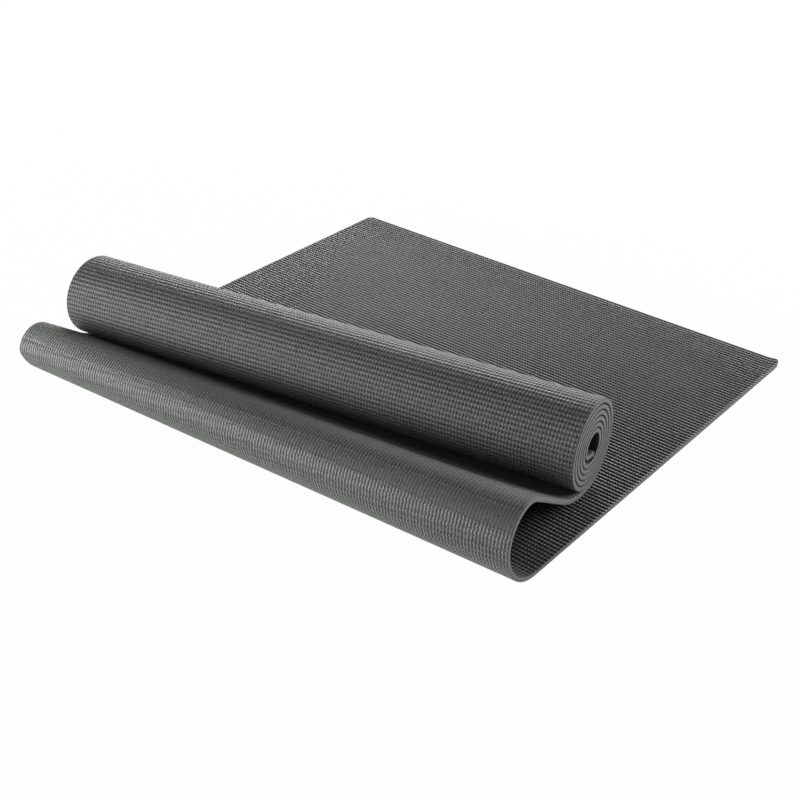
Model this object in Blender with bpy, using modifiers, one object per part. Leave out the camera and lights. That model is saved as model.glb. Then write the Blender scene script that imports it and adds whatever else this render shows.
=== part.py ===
"""A foam fitness mat, partly rolled up.

One end lies flat on the floor. The mat then folds up and over in one open bend, comes down
on itself and ends in a wound roll that lies on the flat length. The mat is a sandwich of a
face foam, a woven scrim and a base foam, and each of these is made in three lengths: laid,
fold and roll. The fold and the roll hang on an empty on the line about which the fold opens.

Metres, +Z up. +X is the near end of the roll, +Y the free end of the mat, and the origin is
on the underside, in the middle of the laid length.
"""
from dataclasses import dataclass
import math

import bpy
from mathutils import Matrix, Vector

# The mat as it is cut
MAT_LENGTH = 1.83
MAT_WIDTH = 0.61
FACE_FOAM_THICKNESS = 0.0020
SCRIM_THICKNESS = 0.0003
BASE_FOAM_THICKNESS = 0.0019
CORNER_RADIUS = 0.004

# Clearance between layers, between lengths and under the roll
FIT_GAP = 0.0003

# The laid length ends askew, so the bend is an easy cone and not a cylinder
NEAR_LAID_LENGTH = 0.4507
FAR_LAID_LENGTH = 0.5085
FOLD_LEAD = 0.006

# The bend, as radii of the mat's middle: under, front and top, then a slope and a sag
NEAR_UNDER_RADIUS = 0.0412
NEAR_FRONT_RADIUS = 0.0316
NEAR_TOP_RADIUS = 0.0344
NEAR_SLOPE = math.radians(36.4)
NEAR_SAG_ROOM = 0.0499
FAR_UNDER_RADIUS = 0.0447
FAR_FRONT_RADIUS = 0.0115
FAR_TOP_RADIUS = 0.0244
FAR_SLOPE = math.radians(37.8)
FAR_SAG_ROOM = 0.0121
UNDER_TURN = math.radians(75)
FRONT_TURN = math.radians(40)

# The roll
INNER_TURN_RADIUS = 0.0141
WINDING_GAP = 0.00065
SETTLE_PER_TURN = 0.00015
ROLL_WIDTH_OVER_HEIGHT = 1.03
ROLL_SHIFT = 0.0251
TAIL_RADIUS = 0.0075
TAIL_TURN = math.radians(72)
TAIL_RUN = 0.0138

# Steps of the curves
STEPS_PER_TURN = 24
UNDER_STEPS = 8
FRONT_STEPS = 4
TOP_STEPS = 10
SLOPE_STEPS = 3
SAG_STEPS = 7
TAIL_STEPS = 5
CORNER_STEPS = 4
TAIL_RUN_STEPS = 2
RADIUS_ROUNDS = 12
SHARP_ANGLE = math.radians(40)

MAT_THICKNESS = (FACE_FOAM_THICKNESS + SCRIM_THICKNESS + BASE_FOAM_THICKNESS
                 + 2 * FIT_GAP)
HALF_THICKNESS = MAT_THICKNESS / 2
HALF_WIDTH = MAT_WIDTH / 2
LAID_MID_HEIGHT = HALF_THICKNESS
STRIP_MID_HEIGHT = MAT_THICKNESS + FIT_GAP + HALF_THICKNESS
FREE_END_Y = (NEAR_LAID_LENGTH + FAR_LAID_LENGTH) / 4
WINDING_PITCH = MAT_THICKNESS + WINDING_GAP


@dataclass(frozen=True)
class Layer:
    """One layer of the sandwich; offset is from the mat's middle towards the base side."""

    name: str
    thickness: float
    offset: float
    colour: tuple
    roughness: float


FACE = Layer("face_foam", FACE_FOAM_THICKNESS, FACE_FOAM_THICKNESS / 2 - HALF_THICKNESS,
             (0.130, 0.130, 0.130, 1.0), 0.75)
SCRIM = Layer("scrim", SCRIM_THICKNESS,
              FACE_FOAM_THICKNESS + FIT_GAP + SCRIM_THICKNESS / 2 - HALF_THICKNESS,
              (0.550, 0.550, 0.530, 1.0), 0.85)
BASE = Layer("base_foam", BASE_FOAM_THICKNESS, HALF_THICKNESS - BASE_FOAM_THICKNESS / 2,
             (0.150, 0.152, 0.147, 1.0), 0.55)


@dataclass(frozen=True)
class Bend:
    """The fold's section at one edge of the mat."""

    laid_length: float
    under_radius: float
    front_radius: float
    top_radius: float
    slope: float
    sag_room: float


NEAR = Bend(NEAR_LAID_LENGTH, NEAR_UNDER_RADIUS, NEAR_FRONT_RADIUS, NEAR_TOP_RADIUS,
            NEAR_SLOPE, NEAR_SAG_ROOM)
FAR = Bend(FAR_LAID_LENGTH, FAR_UNDER_RADIUS, FAR_FRONT_RADIUS, FAR_TOP_RADIUS,
           FAR_SLOPE, FAR_SAG_ROOM)


def left_of(heading):
    """The unit vector to the left of a heading, in an upright plane."""
    return Vector((-math.sin(heading), math.cos(heading)))


class Track:
    """The mat's middle line in an upright plane, grown by straight runs and arcs."""

    def __init__(self, across, height, heading):
        self.points = [Vector((across, height))]
        self.headings = [heading]
        self.lengths = [0.0]

    def add(self, point, heading, length):
        """Add one station."""
        self.points.append(point)
        self.headings.append(heading)
        self.lengths.append(self.lengths[-1] + length)

    def run(self, length, steps):
        """Go straight on."""
        heading = self.headings[-1]
        start = self.points[-1]
        way = Vector((math.cos(heading), math.sin(heading)))
        for step in range(1, steps + 1):
            self.add(start + way * (length * step / steps), heading, length / steps)

    def arc(self, radius, turn, steps):
        """Turn along an arc, to the left where turn is positive."""
        reach = math.copysign(radius, turn)
        first = self.headings[-1]
        centre = self.points[-1] + left_of(first) * reach
        for step in range(1, steps + 1):
            heading = first + turn * step / steps
            point = centre - left_of(heading) * reach
            self.add(point, heading, radius * abs(turn) / steps)

    def offset(self, distance):
        """The stations moved to the left by a distance, as (across, height) pairs."""
        return [point + left_of(heading) * distance
                for point, heading in zip(self.points, self.headings)]


def arc_steps(turn, full_turn, steps):
    """Steps for part of an arc, at least one."""
    return max(1, round(steps * turn / full_turn))


def front_track(bend):
    """From the fold's ground line up to its foremost point, where the mat stands upright."""
    track = Track(0.0, LAID_MID_HEIGHT, math.pi)
    track.arc(bend.under_radius, -UNDER_TURN, UNDER_STEPS)
    rest = math.pi / 2 - UNDER_TURN
    track.arc(bend.front_radius, -rest, arc_steps(rest, FRONT_TURN, FRONT_STEPS))
    return track


def bend_track(bend, roll_radius):
    """From the fold's ground line over the top and down to the point under the roll."""
    track = Track(0.0, LAID_MID_HEIGHT, math.pi)
    track.arc(bend.under_radius, -UNDER_TURN, UNDER_STEPS)
    track.arc(bend.front_radius, -FRONT_TURN, FRONT_STEPS)
    top_turn = math.pi - UNDER_TURN - FRONT_TURN + bend.slope
    track.arc(bend.top_radius, -top_turn, TOP_STEPS)
    sag_radius = roll_radius + bend.sag_room
    sag_drop = sag_radius * (1 - math.cos(bend.slope))
    drop = track.points[-1].y - STRIP_MID_HEIGHT - sag_drop
    track.run(drop / math.sin(bend.slope), SLOPE_STEPS)
    track.arc(sag_radius, bend.slope, SAG_STEPS)
    return track


def mean_of(sizes):
    """The mean of some sizes."""
    return sum(sizes) / len(sizes)


def outer_radius():
    """Radius of the outer turn that the rest of the mat's length winds up to.

    A winding from radius a to radius b at pitch p holds pi * (b * b - a * a) / p of mat. The
    length left for it depends on the sag under the roll, so the radius is found in steps.
    """
    tail_length = TAIL_RADIUS * TAIL_TURN + TAIL_RUN
    roundness = (1 + ROLL_WIDTH_OVER_HEIGHT) / 2
    radius = INNER_TURN_RADIUS
    for _ in range(RADIUS_ROUNDS):
        free = mean_of([bend.laid_length + bend_track(bend, radius).lengths[-1]
                        for bend in (NEAR, FAR)])
        wound = MAT_LENGTH - free - tail_length
        area = WINDING_PITCH * wound / (math.pi * roundness)
        radius = math.sqrt(INNER_TURN_RADIUS ** 2 + area)
    return radius


ROLL_RADIUS = outer_radius()
TURNS = (ROLL_RADIUS - INNER_TURN_RADIUS) / WINDING_PITCH


def winding_station(angle):
    """Place and heading of the mat's middle in the winding; angle 0 is under the roll."""
    turns = angle / math.tau
    radius = ROLL_RADIUS - WINDING_PITCH * turns
    centre = STRIP_MID_HEIGHT + ROLL_RADIUS - SETTLE_PER_TURN * turns
    across = ROLL_WIDTH_OVER_HEIGHT * radius * math.sin(angle)
    height = centre - radius * math.cos(angle)
    shrink = WINDING_PITCH / math.tau
    across_rate = ROLL_WIDTH_OVER_HEIGHT * (radius * math.cos(angle) - shrink * math.sin(angle))
    height_rate = (radius * math.sin(angle) + shrink * math.cos(angle)
                   - SETTLE_PER_TURN / math.tau)
    return Vector((across, height)), math.atan2(height_rate, across_rate)


def roll_track():
    """The winding from under the roll inwards, then the inner end across the bore."""
    first = FIT_GAP / (ROLL_RADIUS * ROLL_WIDTH_OVER_HEIGHT)
    last = TURNS * math.tau
    pitch_angle = math.tau / STEPS_PER_TURN
    whole = [pitch_angle * step for step in range(1, int(last / pitch_angle))]
    angles = [first] + whole + [last]
    start, heading = winding_station(angles[0])
    track = Track(start.x, start.y, heading)
    for angle in angles[1:]:
        point, heading = winding_station(angle)
        track.add(point, heading, (point - track.points[-1]).length)
    track.arc(TAIL_RADIUS, TAIL_TURN, TAIL_STEPS)
    track.run(TAIL_RUN, TAIL_RUN_STEPS)
    return track


def distance_to_segment(point, start, end):
    """Distance from a point to a straight segment."""
    way = end - start
    share = max(0.0, min(1.0, (point - start).dot(way) / way.length_squared))
    return (point - start - way * share).length


def least_gap(track):
    """Least air between two stretches of the winding, measured on its points."""
    points = track.points
    apart = STEPS_PER_TURN // 3
    least = math.inf
    for index, point in enumerate(points):
        for other in range(index + apart, len(points) - 1):
            gap = distance_to_segment(point, points[other], points[other + 1])
            least = min(least, gap)
        for other in range(0, index - apart):
            gap = distance_to_segment(point, points[other], points[other + 1])
            least = min(least, gap)
    return least - MAT_THICKNESS


@dataclass(frozen=True)
class Plan:
    """Where the fold and the roll lie, seen from above."""

    fold_near: Vector
    fold_far: Vector
    along_fold: Vector
    over_fold: Vector
    under_roll_near: Vector
    under_roll_far: Vector
    over_roll: Vector


def make_plan(near_track, far_track):
    """Work out the plan from the two sections, so that they stay one mat width apart."""
    fold_near = Vector((HALF_WIDTH, FREE_END_Y - NEAR_LAID_LENGTH))
    fold_far = Vector((-HALF_WIDTH, FREE_END_Y - FAR_LAID_LENGTH))
    along = (fold_near - fold_far).normalized()
    over = Vector((-along.y, along.x))
    near_reach = near_track.points[-1].x
    far_reach = far_track.points[-1].x
    reach = mean_of([near_reach, far_reach])
    swing = math.asin((near_reach - far_reach) / MAT_WIDTH)
    roll_angle = math.atan2(along.y, along.x) + swing
    roll_along = Vector((math.cos(roll_angle), math.sin(roll_angle)))
    centre = fold_near + over * reach
    centre += along * ((-ROLL_SHIFT - centre.x) / along.x)
    return Plan(fold_near, fold_far, along, over,
                centre + roll_along * HALF_WIDTH, centre - roll_along * HALF_WIDTH,
                Vector((-roll_along.y, roll_along.x)))


def bend_row(bend_start, under_roll, track, plan, offset):
    """One edge of the fold in space, with a short flat lead before the bend."""
    lead = Vector((bend_start.x, bend_start.y + FOLD_LEAD, LAID_MID_HEIGHT - offset))
    drift = (under_roll - bend_start).dot(plan.along_fold)
    row = [lead]
    for place, length in zip(track.offset(offset), track.lengths):
        flat = (bend_start + plan.over_fold * place.x
                + plan.along_fold * (drift * length / track.lengths[-1]))
        row.append(Vector((flat.x, flat.y, place.y)))
    return row


def roll_row(under_roll, track, plan, offset):
    """One edge of the roll in space."""
    row = []
    for place in track.offset(offset):
        flat = under_roll + plan.over_roll * place.x
        row.append(Vector((flat.x, flat.y, place.y)))
    return row


def loft(name, near_row, far_row):
    """A mesh of one row of faces between the two edges of a length."""
    count = len(near_row)
    faces = [(step, step + 1, count + step + 1, count + step) for step in range(count - 1)]
    mesh = bpy.data.meshes.new(name)
    mesh.from_pydata([tuple(point) for point in near_row + far_row], [], faces)
    return mesh


def laid_mesh(name, plan, offset):
    """The flat length: square at the fold, with rounded corners at the free end."""
    height = LAID_MID_HEIGHT - offset
    seam = FOLD_LEAD + FIT_GAP
    outline = [(plan.fold_near.x, plan.fold_near.y + seam)]
    corners = ((HALF_WIDTH, 0.0), (-HALF_WIDTH, math.pi / 2))
    for edge, first in corners:
        middle_x = edge - math.copysign(CORNER_RADIUS, edge)
        middle_y = FREE_END_Y - CORNER_RADIUS
        for step in range(CORNER_STEPS + 1):
            angle = first + math.pi / 2 * step / CORNER_STEPS
            outline.append((middle_x + CORNER_RADIUS * math.cos(angle),
                            middle_y + CORNER_RADIUS * math.sin(angle)))
    outline.append((plan.fold_far.x, plan.fold_far.y + seam))
    mesh = bpy.data.meshes.new(name)
    mesh.from_pydata([(x, y, height) for x, y in outline], [], [range(len(outline))])
    return mesh


def make_material(layer):
    """The layer's own Principled material."""
    material = bpy.data.materials.new(layer.name + "_material")
    material.use_nodes = True
    shader = material.node_tree.nodes["Principled BSDF"]
    shader.inputs["Base Color"].default_value = layer.colour
    shader.inputs["Roughness"].default_value = layer.roughness
    shader.inputs["Metallic"].default_value = 0.0
    return material


def add_piece(mesh, layer, material, collection, hinge=None):
    """Make one length of one layer: its middle surface, thickened to the layer."""
    piece = bpy.data.objects.new(mesh.name, mesh)
    collection.objects.link(piece)
    if hinge is not None:
        mesh.transform(hinge.matrix_world.inverted())
        piece.parent = hinge
    mesh.materials.append(material)
    mesh.shade_smooth()
    mesh.set_sharp_from_angle(angle=SHARP_ANGLE)
    skin = piece.modifiers.new("layer_thickness", "SOLIDIFY")
    skin.thickness = layer.thickness
    skin.offset = 0.0
    skin.use_even_offset = True
    return piece


def hinge_point(bend, fold_start, under_roll, track, plan):
    """The foremost point of the fold at one edge of the mat."""
    front = front_track(bend)
    drift = (under_roll - fold_start).dot(plan.along_fold)
    flat = (fold_start + plan.over_fold * front.points[-1].x
            + plan.along_fold * (drift * front.lengths[-1] / track.lengths[-1]))
    return Vector((flat.x, flat.y, front.points[-1].y))


def make_hinge(near_point, far_point, collection):
    """An empty on the line about which the fold opens, its X axis along that line."""
    along = (near_point - far_point).normalized()
    across = Vector((0.0, 0.0, 1.0)).cross(along).normalized()
    turn = Matrix((along, across, along.cross(across))).transposed()
    hinge = bpy.data.objects.new("fold_hinge_line", None)
    collection.objects.link(hinge)
    hinge.matrix_world = Matrix.Translation((near_point + far_point) / 2) @ turn.to_4x4()
    bpy.context.view_layer.update()
    return hinge


def main():
    """Build the mat."""
    for old in list(bpy.data.objects):
        bpy.data.objects.remove(old)
    collection = bpy.data.collections.new("fitness_mat")
    bpy.context.scene.collection.children.link(collection)

    near_track = bend_track(NEAR, ROLL_RADIUS)
    far_track = bend_track(FAR, ROLL_RADIUS)
    wound = roll_track()
    plan = make_plan(near_track, far_track)
    near_front = hinge_point(NEAR, plan.fold_near, plan.under_roll_near, near_track, plan)
    far_front = hinge_point(FAR, plan.fold_far, plan.under_roll_far, far_track, plan)
    hinge = make_hinge(near_front, far_front, collection)

    for layer in (FACE, SCRIM, BASE):
        material = make_material(layer)
        add_piece(laid_mesh(layer.name + "_laid", plan, layer.offset), layer, material,
                  collection)
        near_row = bend_row(plan.fold_near, plan.under_roll_near, near_track, plan,
                            layer.offset)
        far_row = bend_row(plan.fold_far, plan.under_roll_far, far_track, plan, layer.offset)
        add_piece(loft(layer.name + "_fold", near_row, far_row), layer, material,
                  collection, hinge)
        near_row = roll_row(plan.under_roll_near, wound, plan, layer.offset)
        far_row = roll_row(plan.under_roll_far, wound, plan, layer.offset)
        add_piece(loft(layer.name + "_roll", near_row, far_row), layer, material,
                  collection, hinge)

    print("turns in the roll", round(TURNS, 3), "outer radius", round(ROLL_RADIUS, 5))
    print("least gap of the winding to itself, mm", round(1000 * least_gap(wound), 3))
    print("near edge to the roll", round(NEAR_LAID_LENGTH + near_track.lengths[-1], 4))
    print("far edge to the roll", round(FAR_LAID_LENGTH + far_track.lengths[-1], 4))
    print("hinge near", [round(value, 5) for value in near_front])
    print("hinge far", [round(value, 5) for value in far_front])


if __name__ == "__main__":
    main()
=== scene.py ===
"""Looks of a foam fitness mat that is partly rolled up.

The mat is one sheet of foam with a woven scrim inside. Every piece here is a stretch of one
layer of it, carried along the sheet's middle line: flat on the floor, up and over in an open
bend, down a slope and round into the roll. The same sizes as the CAD model's give the line.
"""
import logging
import math
from dataclasses import dataclass
from enum import Enum
from functools import cache

import bpy
import numpy as np
from mathutils import Matrix, Vector


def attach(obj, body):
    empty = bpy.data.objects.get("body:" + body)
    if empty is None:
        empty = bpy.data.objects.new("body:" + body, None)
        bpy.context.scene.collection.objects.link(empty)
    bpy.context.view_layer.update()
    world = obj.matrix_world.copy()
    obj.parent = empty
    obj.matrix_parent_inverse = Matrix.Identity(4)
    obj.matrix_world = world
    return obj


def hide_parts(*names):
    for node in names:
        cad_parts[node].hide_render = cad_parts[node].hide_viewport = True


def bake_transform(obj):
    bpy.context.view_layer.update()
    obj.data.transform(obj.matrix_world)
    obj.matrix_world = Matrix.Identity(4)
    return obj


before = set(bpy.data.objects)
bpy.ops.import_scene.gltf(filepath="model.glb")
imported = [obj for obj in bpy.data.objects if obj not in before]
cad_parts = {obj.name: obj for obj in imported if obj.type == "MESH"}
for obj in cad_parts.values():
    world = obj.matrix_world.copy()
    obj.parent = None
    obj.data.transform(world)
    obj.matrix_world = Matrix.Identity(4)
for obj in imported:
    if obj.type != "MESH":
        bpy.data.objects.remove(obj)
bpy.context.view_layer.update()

LOG = logging.getLogger("fitness_mat")

COORDS = "mat_coords"
RADIUS_ROUNDS = 12
STATION_ROUNDS = 30
TAIL_STEPS = (14, 12)
SHARP_ANGLE = math.radians(50)
EDGE_SHARES = (0.15, 0.5)
END_CLEARANCE = 1e-6


def placed(name: str, data: bpy.types.ID) -> bpy.types.Object:
    """A new object in the scene."""
    made = bpy.data.objects.new(name, data)
    bpy.context.scene.collection.objects.link(made)
    return made


class Layer(Enum):
    """The layers of the sheet, by the record's material slot."""

    FACE = "face_foam"
    SCRIM = "scrim"
    BASE = "base_foam"


@dataclass(frozen=True)
class Sheet:
    """Sizes of the mat as it is cut, in metres."""

    length: float = 1.83
    width: float = 0.61
    thickness: float = 0.0048
    gap_under_roll: float = 0.0003
    corner_radius: float = 0.008
    edge_softness: float = 0.0005
    edge_band: float = 0.003
    scrim_thickness: float = 0.0003
    scrim_inset: float = 0.0012
    corner_lift: float = 0.0030
    lift_reach: float = 0.016

    @property
    def half(self) -> float:
        """Half of the thickness."""
        return self.thickness / 2

    @property
    def strip_height(self) -> float:
        """Height of the sheet's middle where it lies on itself."""
        return self.thickness + self.gap_under_roll + self.half


@dataclass(frozen=True)
class Bend:
    """The fold's section at one edge of the mat, in metres and radians."""

    laid_length: float
    under_radius: float
    front_radius: float
    top_radius: float
    slope: float
    sag_room: float
    under_turn: float = math.radians(75)
    front_turn: float = math.radians(40)


@dataclass(frozen=True)
class Winding:
    """Sizes of the roll, in metres and radians."""

    inner_radius: float = 0.0141
    gap: float = 0.00065
    settle: float = 0.00015
    width_over_height: float = 1.03
    shift: float = 0.0251
    tail_radius: float = 0.0075
    tail_turn: float = math.radians(72)
    tail_run: float = 0.0138

    @property
    def pitch(self) -> float:
        """How far apart two turns lie, middle to middle."""
        return SHEET.thickness + self.gap

    @property
    def tail(self) -> float:
        """Length of mat in the tail, beyond the spiral."""
        return self.tail_radius * self.tail_turn + self.tail_run


SHEET = Sheet()
NEAR = Bend(0.4507, 0.0412, 0.0316, 0.0344, math.radians(36.4), 0.0499)
FAR = Bend(0.5085, 0.0447, 0.0115, 0.0244, math.radians(37.8), 0.0121)
WINDING = Winding()


@dataclass
class MidLine:
    """The sheet's middle in an upright plane: place, heading and length at each station."""

    across: np.ndarray
    height: np.ndarray
    heading: np.ndarray
    length: np.ndarray

    @classmethod
    def start(cls, across: float, height: float, heading: float, length: float) -> "MidLine":
        """A line of one station."""
        return cls(*(np.array([value]) for value in (across, height, heading, length)))

    def grown(self, across: np.ndarray, height: np.ndarray, heading: np.ndarray,
              length: np.ndarray) -> "MidLine":
        """The line with more stations at its end."""
        return MidLine(np.append(self.across, across), np.append(self.height, height),
                       np.append(self.heading, heading),
                       np.append(self.length, self.length[-1] + length))

    def run(self, length: float, steps: int) -> "MidLine":
        """The line carried straight on for a length."""
        gone = length * np.arange(1, steps + 1) / steps
        heading = self.heading[-1]
        return self.grown(self.across[-1] + gone * math.cos(heading),
                          self.height[-1] + gone * math.sin(heading),
                          np.full(steps, heading), gone)

    def arc(self, radius: float, turn: float, steps: int) -> "MidLine":
        """The line turned along an arc about a centre to its left, or right if turn < 0.

        The left of a heading t is (-sin t, cos t), and each station lies one radius from
        the centre, against the left of its own heading.
        """
        reach = math.copysign(radius, turn)
        first = self.heading[-1]
        heading = first + turn * np.arange(1, steps + 1) / steps
        centre = (self.across[-1] - math.sin(first) * reach,
                  self.height[-1] + math.cos(first) * reach)
        return self.grown(centre[0] + np.sin(heading) * reach,
                          centre[1] - np.cos(heading) * reach,
                          heading, radius * np.abs(heading - first))

    def stood(self, origin: np.ndarray, over: np.ndarray,
              drift: np.ndarray | float = 0.0) -> tuple[np.ndarray, np.ndarray]:
        """Stand the line up in space.

        Args:
            origin: the plan point at which the line's across is zero.
            over: the plan direction of the line's across.
            drift: plan offsets added station by station.

        Returns:
            The points, and the unit normals towards the base side, which is the line's left.
        """
        plan = origin + np.outer(self.across, over) + drift
        normal = np.column_stack((np.outer(-np.sin(self.heading), over),
                                  np.cos(self.heading)))
        return np.column_stack((plan, self.height)), normal


def bend_line(bend: Bend, roll_radius: float, rise: int = 72, drop: int = 64) -> MidLine:
    """The middle line from the fold's ground line to the point under the roll.

    Args:
        bend: the section at one edge.
        roll_radius: radius of the roll's outer turn.
        rise: stations from the ground line to the crest.
        drop: stations from the crest to the roll.

    Returns:
        The line, with the crest at station rise.
    """
    line = MidLine.start(0.0, SHEET.half, math.pi, bend.laid_length)
    under = rise // 3
    front = rise // 4
    line = line.arc(bend.under_radius, -bend.under_turn, under)
    line = line.arc(bend.front_radius, -bend.front_turn, front)
    line = line.arc(bend.top_radius, bend.under_turn + bend.front_turn - math.pi,
                    rise - under - front)
    line = line.arc(bend.top_radius, -bend.slope, drop // 4)
    sag_radius = roll_radius + bend.sag_room
    fall = line.height[-1] - SHEET.strip_height - sag_radius * (1 - math.cos(bend.slope))
    line = line.run(fall / math.sin(bend.slope), drop // 4)
    return line.arc(sag_radius, bend.slope, drop - drop // 4 * 2)


def outer_radius() -> float:
    """Radius of the roll's outer turn, from the length of mat that is left for it.

    A winding from radius a to b at pitch p holds pi * (b * b - a * a) / p of mat. The sag
    under the roll takes its part of the length, so the radius is found in a few rounds.
    """
    roundness = (1 + WINDING.width_over_height) / 2
    radius = WINDING.inner_radius
    for _ in range(RADIUS_ROUNDS):
        free = (bend_line(NEAR, radius).length[-1] + bend_line(FAR, radius).length[-1]) / 2
        area = WINDING.pitch * (SHEET.length - free - WINDING.tail) / (math.pi * roundness)
        radius = math.sqrt(WINDING.inner_radius ** 2 + area)
    return radius


ROLL_RADIUS = outer_radius()


def winding_line(length: float, steps_per_turn: int) -> MidLine:
    """The middle line from under the roll inwards to the sheet's inner end.

    With each turn the radius shrinks by a pitch, and the centre sinks a little, because the
    turns hang on each other. The heading is that of the place's derivative. The tail leaves
    the spiral on a tighter arc and crosses the bore.
    """
    pitch = WINDING.pitch
    turns = (ROLL_RADIUS - WINDING.inner_radius) / pitch
    count = int(turns * steps_per_turn)
    angle = np.linspace(0.0, turns * math.tau, count + 1)
    radius = ROLL_RADIUS - pitch * angle / math.tau
    wide = WINDING.width_over_height
    across = wide * radius * np.sin(angle)
    height = (SHEET.strip_height + ROLL_RADIUS - WINDING.settle * angle / math.tau
              - radius * np.cos(angle))
    shrink = pitch / math.tau
    across_rate = wide * (radius * np.cos(angle) - shrink * np.sin(angle))
    height_rate = (radius * np.sin(angle) + shrink * np.cos(angle)
                   - WINDING.settle / math.tau)
    heading = np.unwrap(np.arctan2(height_rate, across_rate))
    gone = np.append(0.0, np.cumsum(np.hypot(np.diff(across), np.diff(height))))
    line = MidLine(across, height, heading, length + gone)
    line = line.arc(WINDING.tail_radius, WINDING.tail_turn, TAIL_STEPS[0])
    return line.run(WINDING.tail_run, TAIL_STEPS[1])


@dataclass(frozen=True)
class Plan:
    """Where the bend and the roll lie, seen from above; points are near side, far side."""

    free_end: float
    fold: tuple[np.ndarray, np.ndarray]
    along_fold: np.ndarray
    over_fold: np.ndarray
    roll: tuple[np.ndarray, np.ndarray]
    over_roll: np.ndarray

    @classmethod
    def from_lines(cls, near: MidLine, far: MidLine) -> "Plan":
        """Lay out the plan so that both edges keep one mat width apart."""
        half = SHEET.width / 2
        free_end = (NEAR.laid_length + FAR.laid_length) / 4
        fold = (np.array([half, free_end - NEAR.laid_length]),
                np.array([-half, free_end - FAR.laid_length]))
        along = (fold[0] - fold[1]) / np.linalg.norm(fold[0] - fold[1])
        over = np.array([-along[1], along[0]])
        reach = (near.across[-1] + far.across[-1]) / 2
        swing = math.asin((near.across[-1] - far.across[-1]) / SHEET.width)
        turned = math.atan2(along[1], along[0]) + swing
        roll_along = np.array([math.cos(turned), math.sin(turned)])
        centre = fold[0] + over * reach
        centre = centre - along * ((WINDING.shift + centre[0]) / along[0])
        return cls(free_end, fold, along, over,
                   (centre + roll_along * half, centre - roll_along * half),
                   np.array([-roll_along[1], roll_along[0]]))


@dataclass
class Edge:
    """A long edge of the sheet in space: middle points, base-side normals, lengths."""

    points: np.ndarray
    normals: np.ndarray
    length: np.ndarray


def long_edge(plan: Plan, side: int, bend: MidLine, steps_per_turn: int) -> Edge:
    """Lay out one long edge: the free end, the bend, and the winding.

    Args:
        plan: where the bend and the roll lie.
        side: 0 for the near edge, 1 for the far one.
        bend: the bend's middle line, which drifts evenly along the fold.
        steps_per_turn: stations of the winding.

    Returns:
        The edge, whose first station is the free end and whose second is the bend's first.
    """
    fold, roll = plan.fold[side], plan.roll[side]
    gone = bend.length - bend.length[0]
    share = gone / gone[-1]
    drift = np.outer(share * ((roll - fold) @ plan.along_fold), plan.along_fold)
    spiral = winding_line(bend.length[-1], steps_per_turn)
    bent, bent_normal = bend.stood(fold, plan.over_fold, drift)
    wound, wound_normal = spiral.stood(roll, plan.over_roll)
    return Edge(np.vstack(([fold[0], plan.free_end, SHEET.half], bent, wound[1:])),
                np.vstack(([0.0, 0.0, -1.0], bent_normal, wound_normal[1:])),
                np.concatenate(([0.0], bend.length, spiral.length[1:])))


@dataclass
class MatSurface:
    """The sheet's middle, by metres across, from the far edge, and along, from the free end.

    Station by station the surface is the straight blend of its two edges.
    """

    near: Edge
    far: Edge

    @classmethod
    def lay_out(cls, rise: int, drop: int, steps_per_turn: int) -> "MatSurface":
        """Lay the sheet out: flat, over the fold, and round into the roll."""
        bends = [bend_line(bend, ROLL_RADIUS, rise, drop) for bend in (NEAR, FAR)]
        plan = Plan.from_lines(*bends)
        return cls(*(long_edge(plan, side, bend, steps_per_turn)
                     for side, bend in enumerate(bends)))

    def end(self) -> "Row":
        """The sheet's inner end."""
        return Row(float(self.near.length[-1]), float(self.far.length[-1]))

    @staticmethod
    def blended(station: np.ndarray, share: np.ndarray, near: np.ndarray,
                far: np.ndarray) -> np.ndarray:
        """Both edges' values at stations, blended across."""
        index = np.arange(len(near))
        return (np.interp(station, index, far) * (1 - share)
                + np.interp(station, index, near) * share)

    def station(self, share: np.ndarray, along: np.ndarray) -> np.ndarray:
        """Find the station at which a place across has a given length behind it.

        The length grows with the station, so halving the range closes in on it.
        """
        low = np.zeros_like(along)
        high = np.full_like(along, len(self.near.length) - 1)
        for _ in range(STATION_ROUNDS):
            middle = (low + high) / 2
            below = self.blended(middle, share, self.near.length, self.far.length) < along
            low = np.where(below, middle, low)
            high = np.where(below, high, middle)
        return (low + high) / 2

    def at(self, across: np.ndarray, along: np.ndarray) -> tuple[np.ndarray, np.ndarray]:
        """Points of the sheet's middle, and unit normals towards its base side."""
        share = across / SHEET.width
        station = self.station(share, along)
        points, normals = (
            np.stack([self.blended(station, share, near[:, axis], far[:, axis])
                      for axis in range(3)], axis=-1)
            for near, far in ((self.near.points, self.far.points),
                              (self.near.normals, self.far.normals)))
        corner = np.hypot(SHEET.width - across, along)
        lift = np.clip(1.0 - corner / SHEET.lift_reach, 0.0, 1.0) ** 2 * SHEET.corner_lift
        points[..., 2] += lift
        return points, normals / np.linalg.norm(normals, axis=-1, keepdims=True)


@dataclass(frozen=True)
class Row:
    """A line across the sheet: its lengths from the free end, and the steps that lead to it."""

    near: float
    far: float
    steps: int = 1

    def on(self, length: float = 0.0, steps: int = 1) -> "Row":
        """The line a length further on, with the steps that lead to it."""
        return Row(self.near + length, self.far + length, steps)


FREE_END = Row(0.0, 0.0)


def row_lengths(rows: list[Row]) -> tuple[np.ndarray, np.ndarray]:
    """Lengths of the near and the far edge at every row, evenly stepped between the lines."""
    station = np.cumsum([0] + [row.steps for row in rows[1:]])
    every = np.arange(station[-1] + 1)
    return (np.interp(every, station, [row.near for row in rows]),
            np.interp(every, station, [row.far for row in rows]))


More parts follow.
